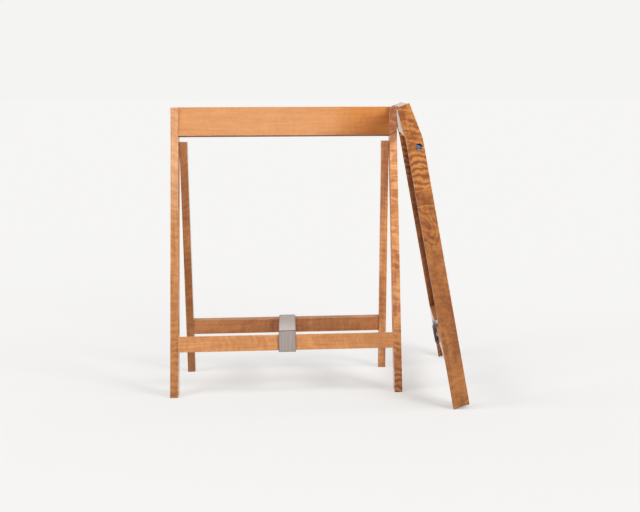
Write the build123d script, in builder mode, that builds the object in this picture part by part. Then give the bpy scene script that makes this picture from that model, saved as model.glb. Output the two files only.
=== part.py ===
"""A pair of folding table trestles in solid wood.

One trestle stands open on its four feet. The second is folded flat and leans
on the end of the first. Both are the same piece of furniture: a main frame
whose legs are bent near the top, an inner frame that swings on two connector
bolts between the main legs, and a webbing strap round the two low stretchers
that limits how far the frames open. The rails are tenoned into the legs.

Every piece is drawn as it stands in the open trestle: X runs along the top
rail, Y from the front feet to the rear feet, and Z is up from the floor. The
last section carries the pieces to their places. The group's origin is on the
floor, under the middle of the box round both trestles. Sizes are in
millimetres and angles in degrees.
"""

from build123d import *

import os
from math import cos, radians, sin, tan

os.makedirs("parts", exist_ok=True)

# ----- Sizes of the open trestle -----
height = 720.0
width = 580.0
main_lean = 11.0
inner_lean = 12.5
head_height = 88.0
head_lean = 6.5

# ----- Timber sections -----
leg_thickness = 19.5
main_leg_depth = 40.0
top_rail_thickness = 21.0
top_rail_height = 73.0
stretcher_thickness = 18.0
stretcher_height = 39.0
stretcher_rise = 112.0
inner_stretcher_raise = 1.5
nesting_clearance = 0.5
arris_radius = 0.8
foot_chamfer = 1.2

# ----- Pivot -----
pivot_setback = 27.3
pivot_drop = 103.6
inner_top_drop = 88.6
frame_gap = 1.0
side_clearance = 0.2
fixed_clearance = 0.04
running_clearance = 0.08
bolt_diameter = 6.0
bolt_length = 26.0
sleeve_diameter = 8.0
sleeve_in_leg = 9.0
sleeve_end_room = 0.5
head_diameter = 16.0
head_thickness = 2.2
head_chamfer = 0.4
head_sunk = 0.2
hex_key = 5.0
hex_key_depth = 2.8
spacer_diameter = 20.0

# ----- Stub tenons -----
tenon_thickness = 8.0
tenon_length = 12.0
tenon_shoulder = 6.0
tenon_end_room = 1.0

# ----- Strap -----
strap_width = 40.0
strap_thickness = 1.8
strap_clearance = 0.3
strap_front_lift = 7.5
strap_rear_lift = 4.2
strap_bottom_drop = 1.4
strap_fold_radius = 5.0
wound_thickness = 6.6
wound_fold_radius = 3.0

# ----- The folded trestle's place -----
folded_lean = 9.9
folded_turn = 93.8
folded_setback = 113.6
folded_reach = 440.0
contact_clearance = 0.3

# ----- Places worked out for the open trestle -----
sides = {"left": -1, "right": 1}
fold_angle = main_lean + inner_lean
half_width = width / 2
main_inner_face = half_width - leg_thickness
inner_outer_face = main_inner_face - frame_gap
inner_inner_face = inner_outer_face - leg_thickness
inner_leg_depth = main_leg_depth - stretcher_thickness - nesting_clearance
inner_setback = pivot_setback - stretcher_thickness - nesting_clearance
kink_height = height - head_height
rail_bottom = height - top_rail_height
hinge_height = height - pivot_drop
inner_top = height - inner_top_drop


def section_plane(y, z, lean):
    """A plane across X: its own X goes into the depth, its own Y up the leaning member."""
    depth_way = (0, cos(radians(lean)), -sin(radians(lean)))
    return Plane(origin=(0, y, z), x_dir=depth_way, z_dir=(1, 0, 0))


def in_section(plane, depth, rise, x=0.0):
    """A point given in a member's own section, as a point of the open trestle."""
    return plane.from_local_coords(Vector(depth, rise, x))


def moved_plane(plane, depth, rise, lean):
    """A member's section plane, started at a point of another member's section."""
    origin = in_section(plane, depth, rise)
    return section_plane(origin.Y, origin.Z, lean)


def rise_to(height_above_floor, depth, lean):
    """How far up a member that starts on the floor a height is met, at a depth into it."""
    return (height_above_floor + depth * sin(radians(lean))) / cos(radians(lean))


main_plane = section_plane(0, 0, main_lean)
hinge_rise = rise_to(hinge_height, pivot_setback, main_lean)
hinge_y = in_section(main_plane, pivot_setback, hinge_rise).Y
main_stretcher_plane = moved_plane(main_plane, 0, stretcher_rise, main_lean)
top_rail_plane = moved_plane(main_plane, 0, rise_to(rail_bottom, 0, main_lean), main_lean)

hinge_plane = section_plane(hinge_y, hinge_height, -inner_lean)
inner_plane = moved_plane(hinge_plane, -inner_setback, 0, -inner_lean)
inner_stretcher_depth = inner_leg_depth - stretcher_thickness
inner_stretcher_plane = moved_plane(
    inner_plane,
    inner_stretcher_depth,
    stretcher_rise + inner_stretcher_raise - hinge_rise,
    -inner_lean,
)
top_rail_rise = top_rail_height / cos(radians(main_lean))


def on_inner_leg(depth, height_above_floor):
    """The inner leg's point at a height above the floor and a depth behind its front edge."""
    above_hinge = height_above_floor - inner_plane.origin.Z
    point = in_section(inner_plane, depth, rise_to(above_hinge, depth, -inner_lean))
    return (point.Y, point.Z)


# ----- Legs -----
def leg(outline, outer_face, side):
    """A leg sawn to an outline, with rounded arrises and a chamfered foot."""
    with BuildPart() as timber:
        with BuildSketch(Plane.YZ.offset(side * outer_face)):
            with BuildLine():
                Polyline(*outline, close=True)
            make_face()
        extrude(amount=-side * leg_thickness)
        foot = timber.faces().sort_by(Axis.Z)[0]
        chamfer(foot.edges(), length=foot_chamfer)
        side_edges = timber.faces().filter_by(Axis.X).edges()
        fillet(side_edges.filter_by(lambda edge: edge.center().Z > foot_chamfer), arris_radius)
    return timber.part


def pivot_seat(side, face, way):
    """The plane square to the pivot at X = side * face, looking the given way along X."""
    return Plane(origin=(side * face, hinge_y, hinge_height), z_dir=(way, 0, 0))


def round_hole(side, face, diameter, clearance, depth):
    """A round hole on the pivot, sunk into a leg from its outer side at X = face."""
    with Locations(pivot_seat(side, face, side)):
        Hole(radius=diameter / 2 + clearance, depth=depth)


def tenon_section(thickness, rise, clearance):
    """The section of a rail's tenon, or of its mortise when it is given a clearance."""
    with Locations((thickness / 2, rise / 2)):
        Rectangle(tenon_thickness + 2 * clearance, rise - 2 * tenon_shoulder + 2 * clearance)


def mortise(plane, side, face, thickness, rise):
    """A mortise cut outwards from a leg's inner face at X = side * face."""
    with BuildSketch(plane.offset(side * face)) as mouth:
        tenon_section(thickness, rise, fixed_clearance)
    extrude(mouth.sketch, amount=side * (tenon_length + tenon_end_room), mode=Mode.SUBTRACT)


def main_leg(side):
    """A main leg: straight below, bent forward and tapered to a narrow head."""
    kink_y = kink_height * tan(radians(main_lean))
    head_y = kink_y + head_height * tan(radians(head_lean))
    foot_depth = main_leg_depth / cos(radians(main_lean))
    front = [(0, 0), (kink_y, kink_height), (head_y, height)]
    rear = [(foot_depth + kink_y, height), (foot_depth + kink_y, kink_height), (foot_depth, 0)]
    head_depth = head_thickness + head_sunk
    sleeve_depth = sleeve_in_leg + sleeve_end_room
    sleeve_face = main_inner_face + sleeve_depth
    with BuildPart() as piece:
        add(leg(front + rear, half_width, side))
        round_hole(side, half_width, head_diameter, fixed_clearance, head_depth)
        round_hole(side, half_width, bolt_diameter, fixed_clearance, leg_thickness)
        round_hole(side, sleeve_face, sleeve_diameter, fixed_clearance, sleeve_depth)
        mortise(top_rail_plane, side, main_inner_face, top_rail_thickness, top_rail_rise)
        mortise(main_stretcher_plane, side, main_inner_face, stretcher_thickness, stretcher_height)
    return piece.part


def inner_leg(side):
    """An inner leg, which nests behind the main stretcher, cut level at foot and head."""
    front = [on_inner_leg(0, 0), on_inner_leg(0, inner_top)]
    rear = [on_inner_leg(inner_leg_depth, inner_top), on_inner_leg(inner_leg_depth, 0)]
    head_depth = head_thickness + side_clearance
    head_face = inner_inner_face + head_depth
    with BuildPart() as piece:
        add(leg(front + rear, inner_outer_face, side))
        round_hole(side, inner_outer_face, sleeve_diameter, running_clearance, leg_thickness)
        round_hole(side, head_face, head_diameter, running_clearance, head_depth)
        mortise(inner_stretcher_plane, side, inner_inner_face, stretcher_thickness, stretcher_height)
    return piece.part


# ----- Rails -----
def rail(section, plane, half_length, thickness, rise):
    """A rail between two legs: a section run along X, with rounded arrises and end tenons."""
    with BuildPart() as piece:
        with BuildSketch(plane):
            with BuildLine():
                Polyline(*section, close=True)
            make_face()
        extrude(amount=half_length, both=True)
        fillet(piece.edges().filter_by(Axis.X), arris_radius)
        with BuildSketch(plane):
            tenon_section(thickness, rise, 0)
        extrude(amount=half_length + tenon_length, both=True)
    return piece.part


def top_rail():
    """The deep top rail, in line with the lower legs, its top planed level."""
    rear_rise = top_rail_rise + top_rail_thickness * tan(radians(main_lean))
    front = [(0, 0), (0, top_rail_rise)]
    rear = [(top_rail_thickness, rear_rise), (top_rail_thickness, 0)]
    return rail(front + rear, top_rail_plane, main_inner_face, top_rail_thickness, top_rail_rise)


def stretcher(plane, half_length):
    """A low rail of the stretcher stock."""
    front = [(0, 0), (0, stretcher_height)]
    rear = [(stretcher_thickness, stretcher_height), (stretcher_thickness, 0)]
    return rail(front + rear, plane, half_length, stretcher_thickness, stretcher_height)


# ----- Pivot hardware -----
def flat_head(side, face, way):
    """A flat round head with a chamfered rim, its face at X = side * face."""
    radius = head_diameter / 2
    upwards = (Align.CENTER, Align.CENTER, Align.MIN)
    seat = pivot_seat(side, face, way)
    with Locations(seat.offset(-head_thickness)):
        Cylinder(radius, head_thickness - head_chamfer, align=upwards)
    with Locations(seat.offset(-head_chamfer)):
        Cone(radius, radius - head_chamfer, head_chamfer, align=upwards)


def hex_socket(side, face, way):
    """A hexagon key's socket, sunk into a head that faces along X."""
    with BuildSketch(pivot_seat(side, face, way)) as mouth:
        RegularPolygon(hex_key / 2, 6, major_radius=False)
    extrude(mouth.sketch, amount=-hex_key_depth, mode=Mode.SUBTRACT)


def pivot_bolts():
    """A connector bolt on each side, its head let into the main leg's outer side."""
    head_face = half_width - head_sunk
    with BuildPart() as bolts:
        for side in sides.values():
            flat_head(side, head_face, side)
            with BuildSketch(pivot_seat(side, head_face, side)):
                Circle(bolt_diameter / 2)
            extrude(amount=-bolt_length)
            hex_socket(side, head_face, side)
    return bolts.part


def sleeve_nuts():
    """A sleeve nut on each side, the pin that the inner leg turns on, its head let in flush."""
    sleeve_end = main_inner_face + sleeve_in_leg
    thread_depth = bolt_length + sleeve_end + sleeve_end_room + head_sunk - half_width
    with BuildPart() as nuts:
        for side in sides.values():
            flat_head(side, inner_inner_face, -side)
            with BuildSketch(pivot_seat(side, sleeve_end, side)):
                Circle(sleeve_diameter / 2)
            extrude(amount=inner_inner_face - sleeve_end + head_thickness / 2)
            hex_socket(side, inner_inner_face, -side)
            round_hole(side, sleeve_end, bolt_diameter, fixed_clearance, thread_depth)
    return nuts.part


def spacer_washers():
    """A thin washer on each sleeve, between the main leg and the inner leg."""
    with BuildPart() as rings:
        for side in sides.values():
            with BuildSketch(pivot_seat(side, main_inner_face, -side)):
                Circle(spacer_diameter / 2)
                Circle(sleeve_diameter / 2 + fixed_clearance, mode=Mode.SUBTRACT)
            extrude(amount=frame_gap - side_clearance)
    return rings.part


# ----- Straps -----
def band(outline, radii, thickness):
    """A closed band of webbing across the middle of the stretchers."""
    with BuildPart() as webbing:
        with BuildSketch(Plane.YZ):
            with BuildLine():
                FilletPolyline(*outline, radius=radii, close=True)
            make_face()
            offset(amount=thickness)
            with BuildLine():
                FilletPolyline(*outline, radius=radii, close=True)
            make_face(mode=Mode.SUBTRACT)
        extrude(amount=strap_width / 2, both=True)
    return webbing.part


def strap_point(plane, depth, rise):
    """A corner of the strap's path, from a stretcher's section."""
    point = in_section(plane, depth, rise)
    return (point.Y, point.Z)


def open_strap():
    """The sewn loop of webbing, drawn tight round both stretchers of the open trestle."""
    far = stretcher_thickness + strap_clearance
    outline = [
        strap_point(main_stretcher_plane, -strap_clearance, stretcher_height + strap_front_lift),
        strap_point(inner_stretcher_plane, far, stretcher_height + strap_rear_lift),
        strap_point(inner_stretcher_plane, far, -strap_bottom_drop),
        strap_point(inner_stretcher_plane, 0, -strap_clearance),
        strap_point(main_stretcher_plane, stretcher_thickness, -strap_clearance),
        strap_point(main_stretcher_plane, -strap_clearance, -strap_bottom_drop),
    ]
    snug = arris_radius + strap_clearance
    radii = [strap_fold_radius, strap_rear_lift, snug, snug, snug, snug]
    return band(outline, radii, strap_thickness)


def folded_strap():
    """The same webbing, wound round the two stretchers that lie together when folded."""
    near = -strap_clearance
    far = main_leg_depth + strap_clearance
    top = stretcher_height + inner_stretcher_raise + strap_clearance
    corners = [(near, near), (near, top), (far, top), (far, near)]
    outline = [strap_point(main_stretcher_plane, depth, rise) for depth, rise in corners]
    return band(outline, [arris_radius] * len(outline), wound_thickness)


# ----- Assembly -----
main_frame = {
    "main_leg_left": main_leg(sides["left"]),
    "main_leg_right": main_leg(sides["right"]),
    "top_rail": top_rail(),
    "main_stretcher": stretcher(main_stretcher_plane, main_inner_face),
    "pivot_bolts": pivot_bolts(),
    "sleeve_nuts": sleeve_nuts(),
    "spacer_washers": spacer_washers(),
}
inner_frame = {
    "inner_leg_left": inner_leg(sides["left"]),
    "inner_leg_right": inner_leg(sides["right"]),
    "inner_stretcher": stretcher(inner_stretcher_plane, inner_inner_face),
}

# The inner frame folds about the bolts, its feet swinging in towards the main frame.
hinge_line = Location((0, hinge_y, hinge_height))
folding = hinge_line * Location((0, 0, 0), (-fold_angle, 0, 0)) * hinge_line.inverse()

# The folded trestle tips forward, turns to face the open one's end and is slid up to it
# until its top rail rests on the outer top corner of the right main leg.
tipped = Location((0, 0, 0), (0, 0, -folded_turn)) * Location(
    (0, 0, 0), (main_lean + folded_lean, 0, 0)
)
feet_drop = main_frame["main_leg_left"].moved(tipped).bounding_box().min.Z
nearby = Location((folded_reach, folded_setback, -feet_drop)) * tipped
gap = main_frame["top_rail"].moved(nearby).distance_to(main_frame["main_leg_right"])
face_way = cos(radians(folded_lean)) * sin(radians(folded_turn))
leaning = Location(((contact_clearance - gap) / face_way, 0, 0)) * nearby

placed = {"open_strap": (open_strap(), Location()), "folded_strap": (folded_strap(), leaning)}
for name, piece in main_frame.items():
    placed[f"open_{name}"] = (piece, Location())
    placed[f"folded_{name}"] = (piece, leaning)
for name, piece in inner_frame.items():
    placed[f"open_{name}"] = (piece, Location())
    placed[f"folded_{name}"] = (piece, leaning * folding)

group = Compound([piece.moved(place) for piece, place in placed.values()]).bounding_box()
centred = Location((-group.center().X, -group.center().Y, -group.min.Z))

for name, (piece, place) in placed.items():
    with BuildPart() as node:
        with Locations(centred * place):
            add(piece)
    node.part.label = name
    export_step(node.part, f"parts/{name}.step")
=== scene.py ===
"""Finish, webbing and stage for a pair of folding table trestles in curly hardwood."""

from math import atan2, cos, pi, radians, sin, tan

import bmesh
import bpy
from mathutils import Matrix, Vector
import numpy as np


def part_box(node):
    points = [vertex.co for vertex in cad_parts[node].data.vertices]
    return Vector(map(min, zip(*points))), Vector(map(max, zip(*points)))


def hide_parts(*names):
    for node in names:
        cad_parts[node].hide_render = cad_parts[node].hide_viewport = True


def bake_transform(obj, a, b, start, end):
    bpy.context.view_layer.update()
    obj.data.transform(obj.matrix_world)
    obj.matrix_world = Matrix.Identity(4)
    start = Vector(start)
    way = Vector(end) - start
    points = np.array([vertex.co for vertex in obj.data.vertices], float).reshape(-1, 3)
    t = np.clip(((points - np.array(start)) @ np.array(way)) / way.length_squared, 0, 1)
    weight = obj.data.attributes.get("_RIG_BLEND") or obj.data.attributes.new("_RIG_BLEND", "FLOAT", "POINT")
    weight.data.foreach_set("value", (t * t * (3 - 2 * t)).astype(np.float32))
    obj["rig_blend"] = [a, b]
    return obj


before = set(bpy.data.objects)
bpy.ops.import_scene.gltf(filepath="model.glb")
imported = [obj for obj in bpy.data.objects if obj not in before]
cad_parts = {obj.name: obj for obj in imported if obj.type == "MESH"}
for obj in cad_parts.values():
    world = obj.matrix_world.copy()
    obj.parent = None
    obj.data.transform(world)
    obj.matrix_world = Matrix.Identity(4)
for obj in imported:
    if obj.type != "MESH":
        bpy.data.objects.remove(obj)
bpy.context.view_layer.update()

bl_info = {
    "name": "Folding Trestles",
    "version": (1, 0, 0),
    "blender": (4, 5, 0),
    "location": "View3D > Sidebar > Trestles",
    "description": "Timber, steel and webbing for a pair of folding table trestles",
    "category": "Object",
}

MAIN_LEAN = radians(11.0)
INNER_LEAN = radians(12.5)
FOLDED_LEAN = radians(9.9)
FOLDED_TURN = radians(93.8)

# How each trestle stands, and how the boards of each frame lie in it. In a board's own axes
# Z runs along the grain, Y through the leg's depth and X through its thickness.
OPEN_STANCE = Matrix.Identity(3)
FOLDED_STANCE = (
    Matrix.Rotation(-FOLDED_TURN, 3, "Z") @ Matrix.Rotation(MAIN_LEAN + FOLDED_LEAN, 3, "X")
)
MAIN_SLOPE = Matrix.Rotation(-MAIN_LEAN, 3, "X")
INNER_SLOPE = Matrix.Rotation(INNER_LEAN, 3, "X")
ALONG_RAIL = Matrix.Rotation(pi / 2, 3, "Y")

# The shift from one board to the next in the solid figure that all of them are cut from.
BOARD_SHIFT = (0.013, 0.009, 0.731)
# How far a surface faces up where it is wholly an underside, and where it is one no longer.
UNDERSIDE = (-0.8, -0.4)
# Half of a stretcher's depth and height.
HALF_DEPTH, HALF_RISE = 0.009, 0.0195
# The webbing's gap from the wood, the gap between its layers, and the pitch of its warp.
WEBBING_OFF = 0.0010
LAYER_GAP = 0.0004
WARP_PITCH = 0.0011


# ----- Settings a user would change -----
class TimberSettings(bpy.types.PropertyGroup):
    """Colour and figure of the stained hardwood."""

    pale: bpy.props.FloatVectorProperty(
        name="Pale Grain", description="Colour of the palest figure", subtype="COLOR",
        size=3, min=0, max=1, default=(0.640, 0.328, 0.158),
    )
    deep: bpy.props.FloatVectorProperty(
        name="Deep Grain", description="Colour of the darkest figure", subtype="COLOR",
        size=3, min=0, max=1, default=(0.290, 0.112, 0.042),
    )
    curl_pitch: bpy.props.FloatProperty(
        name="Curl Pitch", description="Usual distance between curl bands", unit="LENGTH",
        min=0.002, max=0.1, default=0.011,
    )
    ring_pitch: bpy.props.FloatProperty(
        name="Ring Pitch", description="Usual width of a growth ring", unit="LENGTH",
        min=0.0005, max=0.05, default=0.0035,
    )
    lacquer: bpy.props.FloatProperty(
        name="Lacquer", description="Weight of the clear lacquer", subtype="FACTOR",
        min=0, max=1, default=0.70,
    )


class HardwareSettings(bpy.types.PropertyGroup):
    """Colours of the zinc plated nuts and washers and of the blackened bolts."""

    zinc: bpy.props.FloatVectorProperty(
        name="Zinc", description="Colour of the plating", subtype="COLOR",
        size=3, min=0, max=1, default=(0.30, 0.34, 0.41),
    )
    bolt: bpy.props.FloatVectorProperty(
        name="Bolt", description="Colour of the blackened bolt heads", subtype="COLOR",
        size=3, min=0, max=1, default=(0.030, 0.040, 0.062),
    )
    roughness: bpy.props.FloatProperty(
        name="Roughness", description="How matt the plating is", subtype="FACTOR",
        min=0, max=1, default=0.38,
    )


class WebbingSettings(bpy.types.PropertyGroup):
    """Size, weave and colour of the strap's webbing."""

    width: bpy.props.FloatProperty(
        name="Width", description="Width of the webbing", unit="LENGTH",
        min=0.01, max=0.1, default=0.043,
    )
    thickness: bpy.props.FloatProperty(
        name="Thickness", description="Thickness of one layer", unit="LENGTH",
        min=0.0005, max=0.005, default=0.0018,
    )
    rib_pitch: bpy.props.FloatProperty(
        name="Rib Pitch", description="Distance between two ribs of the weave", unit="LENGTH",
        min=0.0005, max=0.01, default=0.0021,
    )
    thread: bpy.props.FloatVectorProperty(
        name="Thread", description="Colour of the threads", subtype="COLOR",
        size=3, min=0, max=1, default=(0.50, 0.43, 0.405),
    )
    shade: bpy.props.FloatVectorProperty(
        name="Shade", description="Colour between the threads", subtype="COLOR",
        size=3, min=0, max=1, default=(0.28, 0.235, 0.218),
    )


class StageSettings(bpy.types.PropertyGroup):
    """Floor, lights and camera."""

    eye: bpy.props.FloatVectorProperty(
        name="Eye", description="Where the camera stands", subtype="XYZ", unit="LENGTH",
        size=3, default=(-0.0799, -2.9604, 0.7425),
    )
    heading: bpy.props.FloatProperty(
        name="Heading", description="How far the camera turns to the right of +Y",
        subtype="ANGLE", default=radians(5.26),
    )
    dip: bpy.props.FloatProperty(
        name="Dip", description="How far the camera looks down", subtype="ANGLE",
        default=radians(4.42),
    )
    roll: bpy.props.FloatProperty(
        name="Roll", description="How far the camera is rolled", subtype="ANGLE",
        default=radians(-0.18),
    )
    lens: bpy.props.FloatProperty(
        name="Lens", description="Focal length on a 36 mm wide sensor", unit="CAMERA",
        default=64.59,
    )
    backdrop: bpy.props.FloatVectorProperty(
        name="Backdrop", description="Colour of the lit floor and of the backdrop",
        subtype="COLOR", size=3, min=0, max=1, default=(0.905, 0.900, 0.888),
    )
    shadow: bpy.props.FloatProperty(
        name="Shadow", description="How much of the floor's light the lamps give",
        subtype="FACTOR", min=0, max=1, default=0.42,
    )
    ambient: bpy.props.FloatProperty(
        name="Ambient", description="Light that comes from everywhere", subtype="FACTOR",
        min=0, max=1, default=0.065,
    )
    back_glow: bpy.props.FloatProperty(
        name="Back Glow", description="Light that the backdrop throws on the object's back",
        subtype="FACTOR", min=0, max=1, default=0.75,
    )


SETTINGS = {
    "trestle_timber": TimberSettings,
    "trestle_hardware": HardwareSettings,
    "trestle_webbing": WebbingSettings,
    "trestle_stage": StageSettings,
}


# ----- Shader building -----
def new_group(name, inputs, outputs):
    """A shader node group with named sockets, and its input and output nodes."""
    group = bpy.data.node_groups.new(name, "ShaderNodeTree")
    for label, kind in inputs.items():
        group.interface.new_socket(label, in_out="INPUT", socket_type=f"NodeSocket{kind}")
    for label, kind in outputs.items():
        group.interface.new_socket(label, in_out="OUTPUT", socket_type=f"NodeSocket{kind}")
    return group, group.nodes.new("NodeGroupInput"), group.nodes.new("NodeGroupOutput")


def feed(tree, node, values):
    """Links a node's inputs to sockets, or sets them to values."""
    for key, value in values.items():
        if isinstance(value, bpy.types.NodeSocket):
            tree.links.new(value, node.inputs[key])
        else:
            node.inputs[key].default_value = value


def put(tree, kind, values=None, **settings):
    """A node with its settings made and its inputs fed."""
    made = tree.nodes.new(kind)
    for key, value in settings.items():
        setattr(made, key, value)
    feed(tree, made, values or {})
    return made


def calc(tree, operation, *values, clamp=False):
    """The result of a Math node."""
    return put(
        tree, "ShaderNodeMath", dict(enumerate(values)), operation=operation, use_clamp=clamp
    ).outputs["Value"]


def calc_vector(tree, operation, *values, output="Vector"):
    """The result of a Vector Math node."""
    return put(
        tree, "ShaderNodeVectorMath", dict(enumerate(values)), operation=operation
    ).outputs[output]


def split_xyz(tree, vector):
    """The X, Y and Z outputs of a vector."""
    return put(tree, "ShaderNodeSeparateXYZ", {"Vector": vector}).outputs


def object_place(tree):
    """Where a point lies, in metres in the part's frame."""
    return put(tree, "ShaderNodeTexCoord").outputs["Object"]


def noise(tree, place, scale=None, detail=2.0, roughness=0.5, distortion=0.0, output="Fac"):
    """Noise with about as many bumps to a unit as the scale has for each axis, or else one."""
    vector = calc_vector(tree, "MULTIPLY", place, scale) if scale else place
    return put(
        tree, "ShaderNodeTexNoise",
        {"Vector": vector, "Scale": 1.0, "Detail": detail, "Roughness": roughness,
         "Distortion": distortion},
    ).outputs[output]


def spread(tree, value, low, high, out_low=0.0, out_high=1.0):
    """A value's range from low to high stretched smoothly over a new range."""
    return put(
        tree, "ShaderNodeMapRange",
        {"Value": value, "From Min": low, "From Max": high, "To Min": out_low,
         "To Max": out_high},
        interpolation_type="SMOOTHSTEP",
    ).outputs["Result"]


def near(tree, value, centre, full, gone, inside=1.0, outside=0.0):
    """Inside where a value is within full of a centre, outside where it is beyond gone."""
    off = calc(tree, "ABSOLUTE", calc(tree, "SUBTRACT", value, centre))
    return spread(tree, off, full, gone, inside, outside)


def upward(tree):
    """How far a surface faces up: 1 on a level top, 0 on a wall, -1 underneath."""
    return split_xyz(tree, put(tree, "ShaderNodeNewGeometry").outputs["Normal"])["Z"]


def mix_colour(tree, factor, first, second):
    """The result of a Mix node between two colours, which are its inputs 6 and 7."""
    return put(
        tree, "ShaderNodeMix", {0: factor, 6: first, 7: second}, data_type="RGBA"
    ).outputs[2]


def mix_value(tree, factor, first, second):
    """The result of a Mix node between two numbers, which are its inputs 2 and 3."""
    return put(tree, "ShaderNodeMix", {0: factor, 2: first, 3: second}).outputs[0]


def bump(tree, height, strength, distance):
    """A normal shaped by a height."""
    return put(
        tree, "ShaderNodeBump", {"Height": height, "Strength": strength, "Distance": distance}
    ).outputs["Normal"]


def rgba(colour, gain=1.0):
    """A colour property as four numbers, made lighter or darker by a gain."""
    return (*[min(1.0, part * gain) for part in colour], 1.0)


# ----- Curly wood -----
# Each noise of the wood: bumps to a metre along X, Y and the grain, detail, roughness and
# distortion.
WOOD_NOISE = {
    "drift": ((16.0, 16.0, 3.2), 2.0),
    "sway": ((52.0, 52.0, 36.0), 2.0, 0.55),
    "patches": ((14.0, 14.0, 9.0), 1.0),
    "eddies": ((34.0, 34.0, 17.0), 0.0),
    "fibres": ((620.0, 620.0, 16.0), 3.0, 0.6),
    "strands": ((150.0, 150.0, 5.0), 2.0),
    "pores": ((1500.0, 1500.0, 150.0), 1.0),
    "flecks": ((95.0, 95.0, 310.0), 2.0, 0.6, 0.4),
    "blotches": ((28.0, 28.0, 11.0), 3.0, 0.55),
}
# How much a noise moves the tone, and how much more it does where the board is curly.
TONE_SWING = {
    "fibres": (0.62, 0.0), "strands": (0.46, 0.0), "flecks": (0.12, 0.33), "blotches": (0.25, 1.0),
}
# How far the grain wanders, how far the rings' pith lies from a board, and how many spots of
# mottling there are to a metre across the grain.
DRIFT_REACH = (0.022, 0.022, 0.05)
FROM_PITH = (0.062, 0.095, 0.0)
MOTTLE_ACROSS = (30.0, 46.0)

# Where the figure lies on a board with a flame, in metres up the grain from the flame. Each
# part has its height or heights, how near it is at its full, and where it is gone.
FLAME_FULL, FLAME_GONE = 0.028, 0.063
STREAKS, STREAK_FULL, STREAK_GONE = (-0.047, -0.085), 0.0008, 0.0026
CALM_LOW, CALM_HIGH = (-0.087, -0.082), (-0.054, -0.046)
SWIRLS, SWIRLS_FULL, SWIRLS_GONE = -0.139, 0.040, 0.056
PLAIN, PLAIN_FULL, PLAIN_GONE = -0.30, 0.10, 0.20
# FOOT marks where a board's low end is painted paler: painted bounce light from the floor.
FOOT, FOOT_GONE = -0.522, 0.07
# A flame at this height is off every board.
NO_FLAME = 9.0


def growth_rings(group, place, pitch):
    """Dark late wood of the growth rings, which lie round a pith well outside the board."""
    across = calc_vector(
        group, "MULTIPLY", calc_vector(group, "ADD", place, FROM_PITH), (1.0, 1.0, 0.0)
    )
    radius = calc_vector(group, "LENGTH", across, output="Value")
    ring = calc(group, "FRACT", calc(group, "DIVIDE", radius, pitch))
    late_wood = spread(group, ring, 0.55, 0.97)
    early_edge = spread(group, ring, 0.0, 0.12, 1.0, 0.0)
    return calc(group, "MAXIMUM", late_wood, early_edge)


def curl_figure(group, place, wandering, sway, above, curl_pitch):
    """Wavy bands across the grain, dark lines between broad pale ones.

    They are strongest in the flame and in patches, and mottled where the bands break up.
    """
    parts = split_xyz(group, wandering)
    rows = calc(group, "DIVIDE", parts["Z"], curl_pitch)
    band_way = put(
        group, "ShaderNodeCombineXYZ",
        {"X": calc(group, "MULTIPLY", parts["X"], MOTTLE_ACROSS[0]),
         "Y": calc(group, "MULTIPLY", parts["Y"], MOTTLE_ACROSS[1]), "Z": rows},
    ).outputs["Vector"]
    mottle = noise(group, band_way, detail=2.5, distortion=0.8)
    mottle = spread(group, mottle, 0.36, 0.64, -0.5, 0.5)
    phase = calc(group, "ADD", calc(group, "MULTIPLY", sway, 2.0), rows)
    wave = calc(group, "SINE", calc(group, "MULTIPLY", phase, 1.4 * pi))
    dark_lines = spread(group, wave, 0.35, 0.95, 0.0, -0.85)
    pale_lines = spread(group, wave, -0.95, -0.50, 0.50, 0.0)
    waves = calc(group, "ADD", dark_lines, pale_lines)

    flame = near(group, above, 0.0, FLAME_FULL, FLAME_GONE)
    patches = spread(group, noise(group, place, *WOOD_NOISE["patches"]), 0.38, 0.62, 0.0, 0.22)
    plain = near(group, above, PLAIN, PLAIN_FULL, PLAIN_GONE, 0.2, 1.0)
    strength = calc(group, "MAXIMUM", flame, calc(group, "MULTIPLY", patches, plain))
    mottling = spread(group, above, 0.04, 0.09, 0.35, 0.75)
    return calc(
        group, "ADD", calc(group, "MULTIPLY", waves, strength),
        calc(group, "MULTIPLY", mottle, mottling),
    )


def flame_streaks(group, sway, above):
    """The calm dark stretch below a flame, between two thin pale streaks."""
    bend = calc(group, "MULTIPLY", calc(group, "SUBTRACT", sway, 0.5), 0.006)
    below = calc(group, "ADD", above, bend)
    calm = calc(
        group, "MULTIPLY", spread(group, below, *CALM_LOW),
        spread(group, below, *CALM_HIGH, 1.0, 0.0),
    )
    tone = calc(group, "MULTIPLY", calm, -0.20)
    for height in STREAKS:
        streak = near(group, below, height, STREAK_FULL, STREAK_GONE, 0.42)
        tone = calc(group, "ADD", tone, streak)
    return tone


def swirls_and_painted_foot_light(group, place, above):
    """Swirling grain under the streaks, and the board's low end painted paler, a painted glow of light
    bounced from the floor.
    """
    eddies = noise(group, place, *WOOD_NOISE["eddies"])
    swirl = calc(group, "SINE", calc(group, "MULTIPLY", eddies, 34.0))
    swirl = calc(
        group, "MULTIPLY", spread(group, swirl, 0.1, 0.95, 0.08, -0.30),
        near(group, above, SWIRLS, SWIRLS_FULL, SWIRLS_GONE),
    )
    return calc(group, "ADD", swirl, near(group, above, FOOT, 0.0, FOOT_GONE, 0.24))


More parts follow.
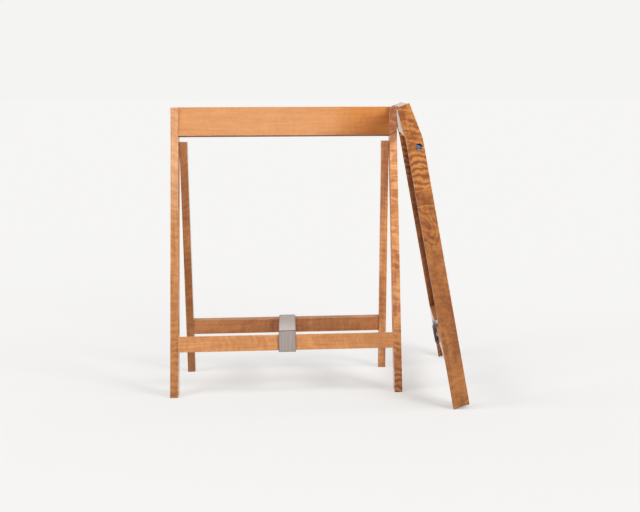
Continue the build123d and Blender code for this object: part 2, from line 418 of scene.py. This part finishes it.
def curly_wood_group():
    """Growth rings, fibres, pores, stain blotches and curl of one board.

    Position is in metres in the board's own axes, with Z along the grain. Along is the same
    distance along the grain, without the shift that makes boards differ.
    """
    group, given, result = new_group(
        "Curly Wood",
        {"Position": "Vector", "Along": "Float", "Pale": "Color", "Deep": "Color",
         "Curl": "Float", "Curl Pitch": "Float", "Flame Height": "Float",
         "Ring Pitch": "Float", "Tone": "Float"},
        {"Color": "Color", "Roughness": "Float", "Height": "Float"},
    )
    given = given.outputs
    place = given["Position"]
    drift = noise(group, place, *WOOD_NOISE["drift"], output="Color")
    drift = calc_vector(group, "SUBTRACT", drift, (0.5, 0.5, 0.5))
    wandering = calc_vector(
        group, "ADD", place, calc_vector(group, "MULTIPLY", drift, DRIFT_REACH)
    )
    sway = noise(group, place, *WOOD_NOISE["sway"])
    above = calc(group, "SUBTRACT", given["Along"], given["Flame Height"])

    figure = curl_figure(group, place, wandering, sway, above, given["Curl Pitch"])
    curl = calc(group, "MULTIPLY", figure, given["Curl"])
    curl = calc(group, "ADD", curl, flame_streaks(group, sway, above))
    curl = calc(group, "ADD", curl, swirls_and_painted_foot_light(group, place, above))

    # Fibres run along the grain, pores are short dark dashes among them, and flecks lie across.
    swings = {
        name: noise(group, way, *WOOD_NOISE[name])
        for name, way in (
            ("fibres", wandering), ("strands", wandering), ("flecks", place), ("blotches", place)
        )
    }
    tone = calc(group, "ADD", given["Tone"], curl)
    for name, source in swings.items():
        always, curly = TONE_SWING[name]
        weight = calc(group, "ADD", always, calc(group, "MULTIPLY", curly, given["Curl"]))
        swing = calc(group, "MULTIPLY", calc(group, "SUBTRACT", source, 0.5), weight)
        tone = calc(group, "ADD", tone, swing)
    rings = growth_rings(group, wandering, given["Ring Pitch"])
    pores = spread(group, noise(group, place, *WOOD_NOISE["pores"]), 0.60, 0.72)
    tone = calc(group, "SUBTRACT", tone, calc(group, "MULTIPLY", rings, 0.10))
    tone = calc(group, "SUBTRACT", tone, calc(group, "MULTIPLY", pores, 0.14), clamp=True)

    hollows = calc(
        group, "ADD", calc(group, "MULTIPLY", pores, 0.6), calc(group, "MULTIPLY", rings, 0.12)
    )
    ridges = calc(group, "MULTIPLY", swings["fibres"], 0.5)
    feed(group, result, {
        "Color": mix_colour(group, tone, given["Deep"], given["Pale"]),
        "Roughness": spread(group, swings["fibres"], 0.3, 0.7, 0.52, 0.40),
        "Height": calc(group, "SUBTRACT", ridges, hollows),
    })
    return group


# ----- Wear -----
DUST = (0.75, 0.70, 0.64, 1.0)


def handling_group():
    """Faint wear: marks and dust that lie over any hard finish."""
    group, given, result = new_group(
        "Handling", {"Color": "Color", "Roughness": "Float", "Amount": "Float"},
        {"Color": "Color", "Roughness": "Float"},
    )
    given = given.outputs
    place = object_place(group)
    smears = spread(group, noise(group, place, (23, 23, 23), 4.0, 0.6), 0.48, 0.70)
    specks = spread(group, noise(group, place, (420, 420, 420), 1.0), 0.70, 0.76)
    dulled = calc(group, "MULTIPLY", smears, given["Amount"])
    marked = calc(group, "MULTIPLY", specks, given["Amount"])
    feed(group, result, {
        "Color": mix_colour(group, calc(group, "MULTIPLY", marked, 0.5), given["Color"], DUST),
        "Roughness": calc(
            group, "ADD", given["Roughness"], calc(group, "MULTIPLY", dulled, 0.18), clamp=True
        ),
    })
    return group


# ----- Materials -----
def shared_group(name, build):
    """A node group that is built the first time it is asked for."""
    return bpy.data.node_groups.get(name) or build()


def new_material(name, colour):
    """A material with a Principled shader, its output and a viewport colour."""
    made = bpy.data.materials.new(name)
    made.use_nodes = True
    made.node_tree.nodes.clear()
    made.diffuse_color = rgba(colour)
    output = made.node_tree.nodes.new("ShaderNodeOutputMaterial")
    shader = made.node_tree.nodes.new("ShaderNodeBsdfPrincipled")
    made.node_tree.links.new(shader.outputs["BSDF"], output.inputs["Surface"])
    return made, made.node_tree, shader


def handled_outputs(tree, colour, roughness, amount):
    """A colour and a roughness with the wear of handling laid over them."""
    return put(
        tree, "ShaderNodeGroup", {"Color": colour, "Roughness": roughness, "Amount": amount},
        node_tree=shared_group("Handling", handling_group),
    ).outputs


def timber_material(name, lie, seed, tone, curl, stain, warmth, flame=NO_FLAME):
    """Curly hardwood for one board, its grain laid along the board."""
    timber = bpy.context.scene.trestle_timber
    made, tree, shader = new_material(name, timber.pale)
    laid = put(
        tree, "ShaderNodeMapping",
        {"Vector": object_place(tree), "Rotation": lie.transposed().to_euler("XYZ")},
    ).outputs["Vector"]
    stains = (stain, stain * warmth ** -0.25, stain / warmth)
    pale, deep = (
        rgba([part * by for part, by in zip(colour, stains)])
        for colour in (timber.pale, timber.deep)
    )
    wood = put(
        tree, "ShaderNodeGroup",
        {"Position": calc_vector(tree, "ADD", laid, tuple(seed * by for by in BOARD_SHIFT)),
         "Along": split_xyz(tree, laid)["Z"], "Flame Height": flame, "Pale": pale,
         "Deep": deep, "Curl": curl, "Curl Pitch": timber.curl_pitch,
         "Ring Pitch": timber.ring_pitch, "Tone": tone},
        node_tree=shared_group("Curly Wood", curly_wood_group),
    ).outputs
    handled = handled_outputs(tree, wood["Color"], wood["Roughness"], 0.25)

    # Where a board faces the floor its colour is darkened, a painted shade on the underside, and the lacquer
    # misses there.
    facing = upward(tree)
    painted_underside_shade = spread(tree, facing, *UNDERSIDE, 0.75, 0.0)
    feed(tree, shader, {
        "Base Color": mix_colour(tree, painted_underside_shade, handled["Color"], rgba(timber.deep, 0.25)),
        "Roughness": handled["Roughness"],
        "Normal": bump(tree, wood["Height"], 0.25, 0.0004),
        "Coat Weight": spread(tree, facing, *UNDERSIDE, timber.lacquer * 0.1, timber.lacquer),
        "Coat Roughness": 0.16,
        "Specular IOR Level": 0.20,
    })
    return made


def steel_material(name, colour, contrast):
    """Plated steel with slanted polishing streaks and dull patches."""
    hardware = bpy.context.scene.trestle_hardware
    made, tree, shader = new_material(name, colour)
    place = object_place(tree)
    slanted = put(
        tree, "ShaderNodeMapping", {"Vector": place, "Rotation": (radians(28), 0.0, 0.0)}
    ).outputs["Vector"]
    streaks = noise(tree, slanted, (60, 90, 480), 2.0, 0.6)
    cloud = noise(tree, place, (260, 260, 260), 3.0, 0.6)
    tinted = mix_colour(
        tree, spread(tree, cloud, 0.35, 0.65), rgba(colour, 0.80), rgba(colour, 1.15)
    )
    tinted = mix_colour(
        tree, spread(tree, streaks, 0.47, 0.57, 0.0, contrast), tinted, rgba(hardware.zinc, 1.6)
    )
    rough = spread(tree, cloud, 0.3, 0.7, hardware.roughness - 0.08, hardware.roughness + 0.10)
    handled = handled_outputs(tree, tinted, rough, 0.3)
    feed(tree, shader, {
        "Base Color": handled["Color"],
        "Roughness": handled["Roughness"],
        "Normal": bump(tree, streaks, 0.15, 0.0002),
        "Metallic": 1.0,
    })
    return made


def ribs(tree, distance, pitch, power):
    """Round ribs of a pitch along a distance, broader for a lower power."""
    phase = calc(tree, "MULTIPLY", calc(tree, "DIVIDE", distance, pitch), pi)
    return calc(tree, "POWER", calc(tree, "ABSOLUTE", calc(tree, "SINE", phase)), power)


def webbing_material():
    """Flat woven webbing: ribs across the strap, fine warp threads along it."""
    webbing = bpy.context.scene.trestle_webbing
    made, tree, shader = new_material("webbing_weave", webbing.thread)
    flat = put(tree, "ShaderNodeUVMap", uv_map="weave").outputs["UV"]
    across, from_end, _ = split_xyz(tree, flat)
    weave = calc(
        tree, "MULTIPLY", ribs(tree, from_end, webbing.rib_pitch, 0.6),
        ribs(tree, across, WARP_PITCH, 0.5),
    )
    fuzz = noise(tree, flat, (900, 900, 900), 3.0, 0.65)
    patches = noise(tree, flat, (230, 9, 1), 3.0, 0.6)

    # What faces up is painted lighter, painted light where the lamps fall from above. The last two
    # millimetres at the cut end are darker. Folds that face up and the strap's two edges get painted shade.
    facing = upward(tree)
    half = webbing.width / 2
    # The strap's two edges are darkened: painted shade where its thickness turns away from the light.
    painted_edge_shade = near(tree, across, half, half - 0.0030, half - 0.0016, 0.0, 0.40)
    crease = put(tree, "ShaderNodeAttribute", attribute_name="crease").outputs["Fac"]
    # Folds that face up are darkened: painted shade where the strap bends over a stretcher.
    folded = calc(
        tree, "MULTIPLY", spread(tree, crease, 0.0, 0.5, 0.0, 0.75),
        spread(tree, facing, 0.35, 0.65),
    )
    colour = rgba(webbing.shade)
    for amount, over in (
        (spread(tree, weave, 0.15, 0.85), rgba(webbing.thread)),
        (spread(tree, patches, 0.42, 0.60, 0.0, 0.62), rgba(webbing.thread, 0.66)),
        (spread(tree, fuzz, 0.45, 0.8, 0.0, 0.30), rgba(webbing.thread, 1.35)),
        # Up-facing webbing is painted lighter: painted light from the lamps above.
        (spread(tree, facing, 0.45, 0.90, 0.0, 0.50), rgba(webbing.thread, 1.35)),
        (spread(tree, from_end, 0.0012, 0.0024, 0.85, 0.0), rgba(webbing.shade, 0.35)),
        # Painted shade on the folds and on the strap's edges.
        (calc(tree, "MAXIMUM", folded, painted_edge_shade), rgba(webbing.shade, 0.55)),
    ):
        colour = mix_colour(tree, amount, colour, over)
    height = calc(tree, "ADD", weave, calc(tree, "MULTIPLY", fuzz, 0.35))
    feed(tree, shader, {
        "Base Color": colour,
        "Roughness": spread(tree, fuzz, 0.3, 0.7, 0.82, 0.96),
        "Normal": bump(tree, height, 0.6, 0.0004),
        "Sheen Weight": 0.55,
        "Sheen Roughness": 0.4,
        "Specular IOR Level": 0.2,
    })
    return made


def shared_webbing():
    """The webbing's material, which both straps share."""
    return bpy.data.materials.get("webbing_weave") or webbing_material()


def finish_node(name, material):
    """A CAD node takes one material all over."""
    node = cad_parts[name]
    node.data.materials.clear()
    node.data.materials.append(material)


# ----- Webbing -----
def object_from(mesh, name):
    """An object in the scene with a bmesh's mesh; the bmesh is freed."""
    data = bpy.data.meshes.new(name)
    mesh.to_mesh(data)
    mesh.free()
    made = bpy.data.objects.new(name, data)
    bpy.context.scene.collection.objects.link(made)
    return made


class WebbingRun:
    """A strip of webbing laid in the YZ plane by straight runs and folds, its width along X."""

    def __init__(self, width, start, heading):
        self.mesh = bmesh.new()
        self.mesh.verts.layers.float.new("distance")
        self.mesh.verts.layers.float.new("crease")
        self.width = width
        self.heading = heading
        self.length = 0.0
        across = bmesh.ops.create_grid(
            self.mesh, x_segments=8, y_segments=1, size=0.5,
            matrix=Matrix.Diagonal((width, 0.0, 0.0, 1.0)),
        )
        bmesh.ops.remove_doubles(self.mesh, verts=across["verts"], dist=1e-6)
        bmesh.ops.delete(self.mesh, geom=self.mesh.faces[:], context="FACES_ONLY")
        bmesh.ops.translate(self.mesh, verts=self.mesh.verts[:], vec=(0.0, *start))
        self.edge = self.mesh.edges[:]
        self.end = Vector((0.0, *start))

    def _lay(self, made, length, crease=0.0):
        """Takes what an operator made as the strip's new end, a length further on."""
        self.edge = [part for part in made if isinstance(part, bmesh.types.BMEdge)]
        self.length += length
        ends = [part for part in made if isinstance(part, bmesh.types.BMVert)]
        for vert in ends:
            vert[self.mesh.verts.layers.float["distance"]] = self.length
        self._crease(ends, crease)
        return ends

    def _crease(self, verts, amount):
        """Notes how sharply the strip is folded at some points."""
        layer = self.mesh.verts.layers.float["crease"]
        for vert in verts:
            vert[layer] = amount

    def straight(self, length, step=0.006):
        """Goes straight on."""
        count = max(1, round(length / step))
        way = Vector((0.0, cos(self.heading), sin(self.heading))) * (length / count)
        for _ in range(count):
            made = bmesh.ops.extrude_edge_only(self.mesh, edges=self.edge)["geom"]
            fresh = [part for part in made if not isinstance(part, bmesh.types.BMFace)]
            ends = self._lay(fresh, length / count)
            bmesh.ops.translate(self.mesh, verts=ends, vec=way)
            self.end += way

    def fold(self, angle, radius, step=radians(12)):
        """Turns about a line across the strip, to the left for a positive angle."""
        side = 1 if angle > 0 else -1
        to_centre = Vector((0.0, -sin(self.heading), cos(self.heading))) * (radius * side)
        centre = self.end + to_centre
        count = max(1, round(abs(angle) / step))
        crease = min(1.0, abs(angle))
        self._crease([vert for edge in self.edge for vert in edge.verts], crease)
        for _ in range(count):
            made = bmesh.ops.spin(
                self.mesh, geom=self.edge, cent=centre, axis=(1.0, 0.0, 0.0),
                angle=angle / count, steps=1,
            )["geom_last"]
            self._lay(made, abs(angle) / count * radius, crease)
        self.end = centre + Matrix.Rotation(angle, 3, "X") @ (self.end - centre)
        self.heading += angle

    def finish(self, name, place):
        """The strip as an object, set in its place, with its lengths as a UV map."""
        mesh = self.mesh
        sheet = mesh.loops.layers.uv.new("weave")
        run_layer = mesh.verts.layers.float["distance"]
        for face in mesh.faces:
            for loop in face.loops:
                from_end = self.length - loop.vert[run_layer]
                loop[sheet].uv = (loop.vert.co.x + self.width / 2, from_end)
        bmesh.ops.transform(mesh, matrix=place, verts=mesh.verts[:])

        # The operators leave edges and faces in an order that changes from run to run.
        mesh.verts.index_update()
        for parts in (mesh.edges, mesh.faces):
            parts.sort(key=self._rank)
        return object_from(mesh, name)

    def _rank(self, part):
        """The place of an edge or a face in the strip, by its two earliest points."""
        first, second, *_ = sorted(vert.index for vert in part.verts)
        return first * len(self.mesh.verts) + second


def thicken(piece, thickness):
    """Gives a strip its thickness, half to each side, and soft edges."""
    solid = piece.modifiers.new("Thickness", "SOLIDIFY")
    solid.thickness = thickness
    solid.offset = 0.0
    solid.use_even_offset = True
    soft = piece.modifiers.new("Selvedge", "BEVEL")
    soft.width = thickness * 0.3
    soft.segments = 2
    soft.limit_method = "ANGLE"


def centre_of(name):
    """The middle of a CAD node's box."""
    low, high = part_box(name)
    return (low + high) / 2


def strip_through(width, corners, radii):
    """A strip laid through corners of the YZ plane, with a fold at each, from end to end."""
    ways = [b - a for a, b in zip(corners, corners[1:])]
    headings = [atan2(way.y, way.x) for way in ways]
    strip = WebbingRun(width, tuple(corners[0]), headings[0])
    turns = [
        (after - before + pi) % (2 * pi) - pi for before, after in zip(headings, headings[1:])
    ]
    setbacks = [0.0] + [abs(tan(turn / 2)) * r for turn, r in zip(turns, radii)] + [0.0]
    for index, way in enumerate(ways):
        strip.straight(way.length - setbacks[index] - setbacks[index + 1])
        if index < len(turns):
            strip.fold(turns[index], radii[index])
    return strip


# ----- Operators -----
class TRESTLE_OT_timber(bpy.types.Operator):
    """Give every board its own curly hardwood, with the grain along the board"""

    bl_idname = "trestle.finish_timber"
    bl_label = "Finish Timber"

    # Each board: how it lies, its tone, how curly it is, how light and how warm its stain is,
    # and how far up the grain its flame is, if it has one.
    BOARDS = {
        "open_main_leg_left": (MAIN_SLOPE, 0.59, 0.75, 1.07, 1.08),
        "open_main_leg_right": (MAIN_SLOPE, 0.52, 0.75, 1.13, 1.00, -0.01),
        "open_top_rail": (ALONG_RAIL, 0.62, 0.18, 0.955, 1.95),
        "open_main_stretcher": (ALONG_RAIL, 0.62, 0.38, 1.27, 1.03),
        "open_inner_leg_left": (INNER_SLOPE, 0.46, 0.60, 0.845, 1.25),
        "open_inner_leg_right": (INNER_SLOPE, 0.52, 0.60, 1.25, 1.04),
        "open_inner_stretcher": (ALONG_RAIL, 0.42, 0.45, 1.14, 1.18),
        "folded_main_leg_left": (MAIN_SLOPE, 0.50, 0.95, 0.775, 1.78, 0.522),
        "folded_main_leg_right": (MAIN_SLOPE, 0.50, 0.95, 0.775, 1.78, 0.522),
        "folded_top_rail": (ALONG_RAIL, 0.56, 0.30, 0.95, 1.20),
        "folded_main_stretcher": (ALONG_RAIL, 0.50, 0.30, 0.90, 1.20),
        "folded_inner_leg_left": (MAIN_SLOPE, 0.46, 0.40, 0.80, 1.20),
        "folded_inner_leg_right": (MAIN_SLOPE, 0.46, 0.40, 0.80, 1.20),
        "folded_inner_stretcher": (ALONG_RAIL, 0.46, 0.35, 0.86, 1.20),
    }

    def execute(self, context):
        for seed, (board, (slope, *figure)) in enumerate(self.BOARDS.items(), 1):
            stance = OPEN_STANCE if board.startswith("open") else FOLDED_STANCE
            finish_node(board, timber_material(f"{board}_timber", stance @ slope, seed, *figure))
        return {"FINISHED"}


class TRESTLE_OT_hardware(bpy.types.Operator):
    """Blacken the pivot bolts, and zinc plate the sleeve nuts and washers"""

    bl_idname = "trestle.finish_hardware"
    bl_label = "Finish Hardware"

    def execute(self, context):
        hardware = context.scene.trestle_hardware
        zinc = steel_material("zinc_plate", hardware.zinc, 0.2)
        black = steel_material("black_steel", hardware.bolt, 0.75)
        for trestle in ("open", "folded"):
            finish_node(f"{trestle}_pivot_bolts", black)
            finish_node(f"{trestle}_sleeve_nuts", zinc)
            finish_node(f"{trestle}_spacer_washers", zinc)
        return {"FINISHED"}


class TRESTLE_OT_open_strap(bpy.types.Operator):
    """Lay the webbing loop round both stretchers of the open trestle"""

    bl_idname = "trestle.open_strap"
    bl_label = "Open Strap"

    # The fold at each corner, and how far the loop sits to the right of the stretchers' middle.
    FOLD_RADII = (0.0042, 0.0040, 0.0024, 0.0024, 0.0024, 0.0024)
    SIDE_SHIFT = 0.0012

    def execute(self, context):
        webbing = context.scene.trestle_webbing
        main = centre_of("open_main_stretcher")
        inner = centre_of("open_inner_stretcher")

        # From under its own lap on the front face, over both tops, back underneath and up again.
        front, rear = -HALF_DEPTH - WEBBING_OFF, HALF_DEPTH + WEBBING_OFF
        lap = front - webbing.thickness * 1.05
        corners = [
            (middle + slope @ Vector((0, depth, rise))).yz
            for middle, slope, depth, rise in (
                (main, MAIN_SLOPE, front, 0.004),
                (main, MAIN_SLOPE, front, HALF_RISE + 0.0030),
                (inner, INNER_SLOPE, rear, HALF_RISE + 0.0042),
                (inner, INNER_SLOPE, rear, -HALF_RISE - 0.0016),
                (inner, INNER_SLOPE, -HALF_DEPTH, -HALF_RISE - WEBBING_OFF),
                (main, MAIN_SLOPE, HALF_DEPTH, -HALF_RISE - WEBBING_OFF),
                (main, MAIN_SLOPE, lap, -HALF_RISE - 0.0040),
                (main, MAIN_SLOPE, lap - 0.0006, HALF_RISE + 0.0102),
            )
        ]
        strip = strip_through(webbing.width, corners, self.FOLD_RADII)
        place = Matrix.Translation((main.x + self.SIDE_SHIFT, 0, 0))
        strap = strip.finish("open_webbing", place)
        thicken(strap, webbing.thickness)
        strap.data.materials.append(shared_webbing())
        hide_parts("open_strap")
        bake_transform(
            strap, "open_main_frame", "open_inner_frame",
            start=(main.x, main.y + 0.02, main.z), end=(inner.x, inner.y - 0.02, inner.z),
        )
        return {"FINISHED"}


class TRESTLE_OT_folded_strap(bpy.types.Operator):
    """Wind the webbing round both stretchers of the folded trestle"""

    bl_idname = "trestle.folded_strap"
    bl_label = "Folded Strap"

    LAYERS = 3
    FOLD_RADIUS = 0.003

    def execute(self, context):
        webbing = context.scene.trestle_webbing
        main = centre_of("folded_main_stretcher")
        inner = centre_of("folded_inner_stretcher")
        pair = (main + inner) / 2
        half_depth = (inner - main).length / 2 + HALF_DEPTH
        lie = (FOLDED_STANCE @ MAIN_SLOPE).to_4x4()
        step = webbing.thickness + LAYER_GAP
        corners = [Vector((-half_depth - WEBBING_OFF, 0.0))]
        for layer in range(self.LAYERS):
            out = WEBBING_OFF + layer * step
            corners += [
                Vector((-half_depth - out, HALF_RISE + out)),
                Vector((half_depth + out, HALF_RISE + out)),
                Vector((half_depth + out, -HALF_RISE - out)),
                Vector((-half_depth - out - step, -HALF_RISE - out)),
            ]
        outermost = -half_depth - WEBBING_OFF - self.LAYERS * step
        corners.append(Vector((outermost, HALF_RISE * 0.7)))
        strip = strip_through(webbing.width, corners, [self.FOLD_RADIUS] * (len(corners) - 2))
        strap = strip.finish("folded_webbing", Matrix.Translation(pair) @ lie)
        thicken(strap, webbing.thickness)
        strap.data.materials.append(shared_webbing())
        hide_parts("folded_strap")
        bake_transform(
            strap, "folded_main_frame", "folded_inner_frame",
            start=tuple(main), end=tuple(inner),
        )
        return {"FINISHED"}


class TRESTLE_OT_stage(bpy.types.Operator):
    """Set up the floor, the lights, the camera and the tone curve"""

    bl_idname = "trestle.stage"
    bl_label = "Stage"

    # Each lamp: where it hangs, what it points at, its side and its power.
    LAMPS = {
        "near_left": ((-0.20, -0.85, 1.00), (0.0, 0.0, 0.70), 0.6, 3.6),
        "left": ((-1.04, -0.49, 1.31), (0.0, 0.0, 0.35), 0.7, 9.9),
        "right": ((1.15, -1.35, 1.25), (0.0, 0.0, 0.70), 0.6, 23.0),
        "right_side": ((1.04, -0.49, 1.31), (0.0, 0.0, 0.35), 0.7, 7.8),
    }
    # The floor's half side, how light it is for what it lights, and how much of the back glow
    # reaches it.
    FLOOR_HALF = 400.0
    BOUNCE = (0.8, 0.8, 0.8, 1.0)
    FLOOR_BACK_GLOW = 0.17
    # The camera's sensor, the shift of the frame on it, and points of the tone curve.
    SENSOR, SHIFT = 36.0, (-0.1172, -0.1084)
    TONE_CURVE = ((0.05, 0.034), (0.13, 0.098), (0.35, 0.325), (0.65, 0.655))

    def execute(self, context):
        stage = context.scene.trestle_stage
        self.lay_floor(stage)
        self.hang_lights(context.scene, stage)
        self.place_camera(context.scene, stage)
        self.develop(context.scene.view_settings)
        return {"FINISHED"}

    def lay_floor(self, stage):
        """A white floor whose own glow evens out the lamps' pools, so only shadows show on it."""
        mesh = bmesh.new()
        bmesh.ops.create_grid(mesh, x_segments=1, y_segments=1, size=self.FLOOR_HALF)
        floor = object_from(mesh, "floor")
        made, tree, shader = new_material("studio_floor", stage.backdrop)
        bounced = put(tree, "ShaderNodeLightPath").outputs["Is Diffuse Ray"]
        seen = calc(tree, "SUBTRACT", 1.0, bounced)
        feed(tree, shader, {
            "Base Color": mix_colour(tree, seen, self.BOUNCE, rgba([stage.shadow] * 3)),
            "Emission Color": self.unlit(tree, object_place(tree), stage),
            "Emission Strength": seen,
            "Roughness": 1.0,
            "Specular IOR Level": 0.0,
        })
        floor.data.materials.append(made)

    def unlit(self, tree, place, stage):
        """The light that the floor still needs at a place to look as pale as the backdrop."""
        around = stage.ambient + self.FLOOR_BACK_GLOW * stage.back_glow
        lit = calc(tree, "MULTIPLY", around * stage.backdrop[1], stage.shadow)
        for spot, aim, _, power in self.LAMPS.values():
            # A small lamp lights the floor by both cosines and the square of the distance.
            way = calc_vector(tree, "SUBTRACT", spot, place)
            reach = calc_vector(tree, "DOT_PRODUCT", way, way, output="Value")
            outward = tuple((Vector(spot) - Vector(aim)).normalized())
            facing = calc_vector(tree, "DOT_PRODUCT", way, outward, output="Value")
            gain = stage.shadow * power * spot[2] / pi ** 2
            glow = calc(tree, "MULTIPLY", calc(tree, "MAXIMUM", facing, 0.0), gain)
            glow = calc(tree, "DIVIDE", glow, calc(tree, "POWER", reach, 2.0))
            lit = calc(tree, "ADD", lit, glow)
        lit = put(tree, "ShaderNodeCombineXYZ", {"X": lit, "Y": lit, "Z": lit}).outputs["Vector"]
        needed = calc_vector(tree, "SUBTRACT", tuple(stage.backdrop), lit)
        return calc_vector(tree, "MAXIMUM", needed, (0.0, 0.0, 0.0))

    def hang_lights(self, scene, stage):
        """Soft lamps, and a white backdrop that shows in gloss but adds little light."""
        scene.world = bpy.data.worlds.new("studio")
        scene.world.use_nodes = True
        tree = scene.world.node_tree
        backdrop = tree.nodes["Background"]
        backdrop.inputs["Color"].default_value = rgba(stage.backdrop)
        path = put(tree, "ShaderNodeLightPath").outputs
        behind = split_xyz(tree, put(tree, "ShaderNodeTexCoord").outputs["Generated"])["Y"]
        in_gloss = spread(tree, behind, -0.6, 0.4, 0.10, 1.0)
        glow = spread(tree, behind, 0.05, 0.90, stage.ambient, stage.ambient + stage.back_glow)
        strength = mix_value(tree, path["Is Glossy Ray"], glow, in_gloss)
        strength = mix_value(tree, path["Is Camera Ray"], strength, 1.0)
        tree.links.new(strength, backdrop.inputs["Strength"])
        for name, (spot, aim, size, power) in self.LAMPS.items():
            light = bpy.data.lights.new(name, "AREA")
            light.shape = "SQUARE"
            light.size = size
            light.energy = power
            lamp = bpy.data.objects.new(name, light)
            way = Vector(aim) - Vector(spot)
            lamp.rotation_euler = way.to_track_quat("-Z", "Y").to_euler()
            lamp.location = spot
            lamp.visible_camera = False
            scene.collection.objects.link(lamp)

    def place_camera(self, scene, stage):
        """The camera at its eye point, with the picture's frame shifted off its axis."""
        data = bpy.data.cameras.new("camera")
        data.sensor_width = self.SENSOR
        data.lens = stage.lens
        data.shift_x, data.shift_y = self.SHIFT
        camera = bpy.data.objects.new("camera", data)
        turn = (
            Matrix.Rotation(-stage.heading, 3, "Z")
            @ Matrix.Rotation(pi / 2 - stage.dip, 3, "X")
            @ Matrix.Rotation(stage.roll, 3, "Z")
        )
        camera.matrix_world = Matrix.Translation(stage.eye) @ turn.to_4x4()
        scene.collection.objects.link(camera)
        scene.camera = camera

    def develop(self, view):
        """A film-like curve that deepens the shadows and leaves the whites alone."""
        view.view_transform = "Standard"
        view.use_curve_mapping = True
        tones = view.curve_mapping.curves[3].points
        for light, print_tone in self.TONE_CURVE:
            tones.new(light, print_tone)
        view.curve_mapping.update()


OPERATORS = (
    TRESTLE_OT_timber,
    TRESTLE_OT_hardware,
    TRESTLE_OT_open_strap,
    TRESTLE_OT_folded_strap,
    TRESTLE_OT_stage,
)


class TRESTLE_PT_sidebar(bpy.types.Panel):
    """The trestles' steps and settings"""

    bl_idname = "TRESTLE_PT_sidebar"
    bl_label = "Folding Trestles"
    bl_space_type = "VIEW_3D"
    bl_region_type = "UI"
    bl_category = "Trestles"

    def draw(self, context):
        for operator in OPERATORS:
            self.layout.operator(operator.bl_idname)
        for name, settings in SETTINGS.items():
            box = self.layout.box()
            group = getattr(context.scene, name)
            for key in settings.__annotations__:
                box.prop(group, key)


def register():
    """Register every class, and the settings on the scene."""
    for name, settings in SETTINGS.items():
        bpy.utils.register_class(settings)
        setattr(bpy.types.Scene, name, bpy.props.PointerProperty(type=settings))
    for operator in OPERATORS:
        bpy.utils.register_class(operator)
    bpy.utils.register_class(TRESTLE_PT_sidebar)


def unregister():
    """Undo what register did, in reverse order."""
    bpy.utils.unregister_class(TRESTLE_PT_sidebar)
    for operator in reversed(OPERATORS):
        bpy.utils.unregister_class(operator)
    for name, settings in reversed(SETTINGS.items()):
        delattr(bpy.types.Scene, name)
        bpy.utils.unregister_class(settings)


def main():
    """Finish the trestles and set the stage."""
    register()
    for operator in OPERATORS:
        family, action = operator.bl_idname.split(".")
        getattr(getattr(bpy.ops, family), action)()
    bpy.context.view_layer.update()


if __name__ == "__main__":
    main()
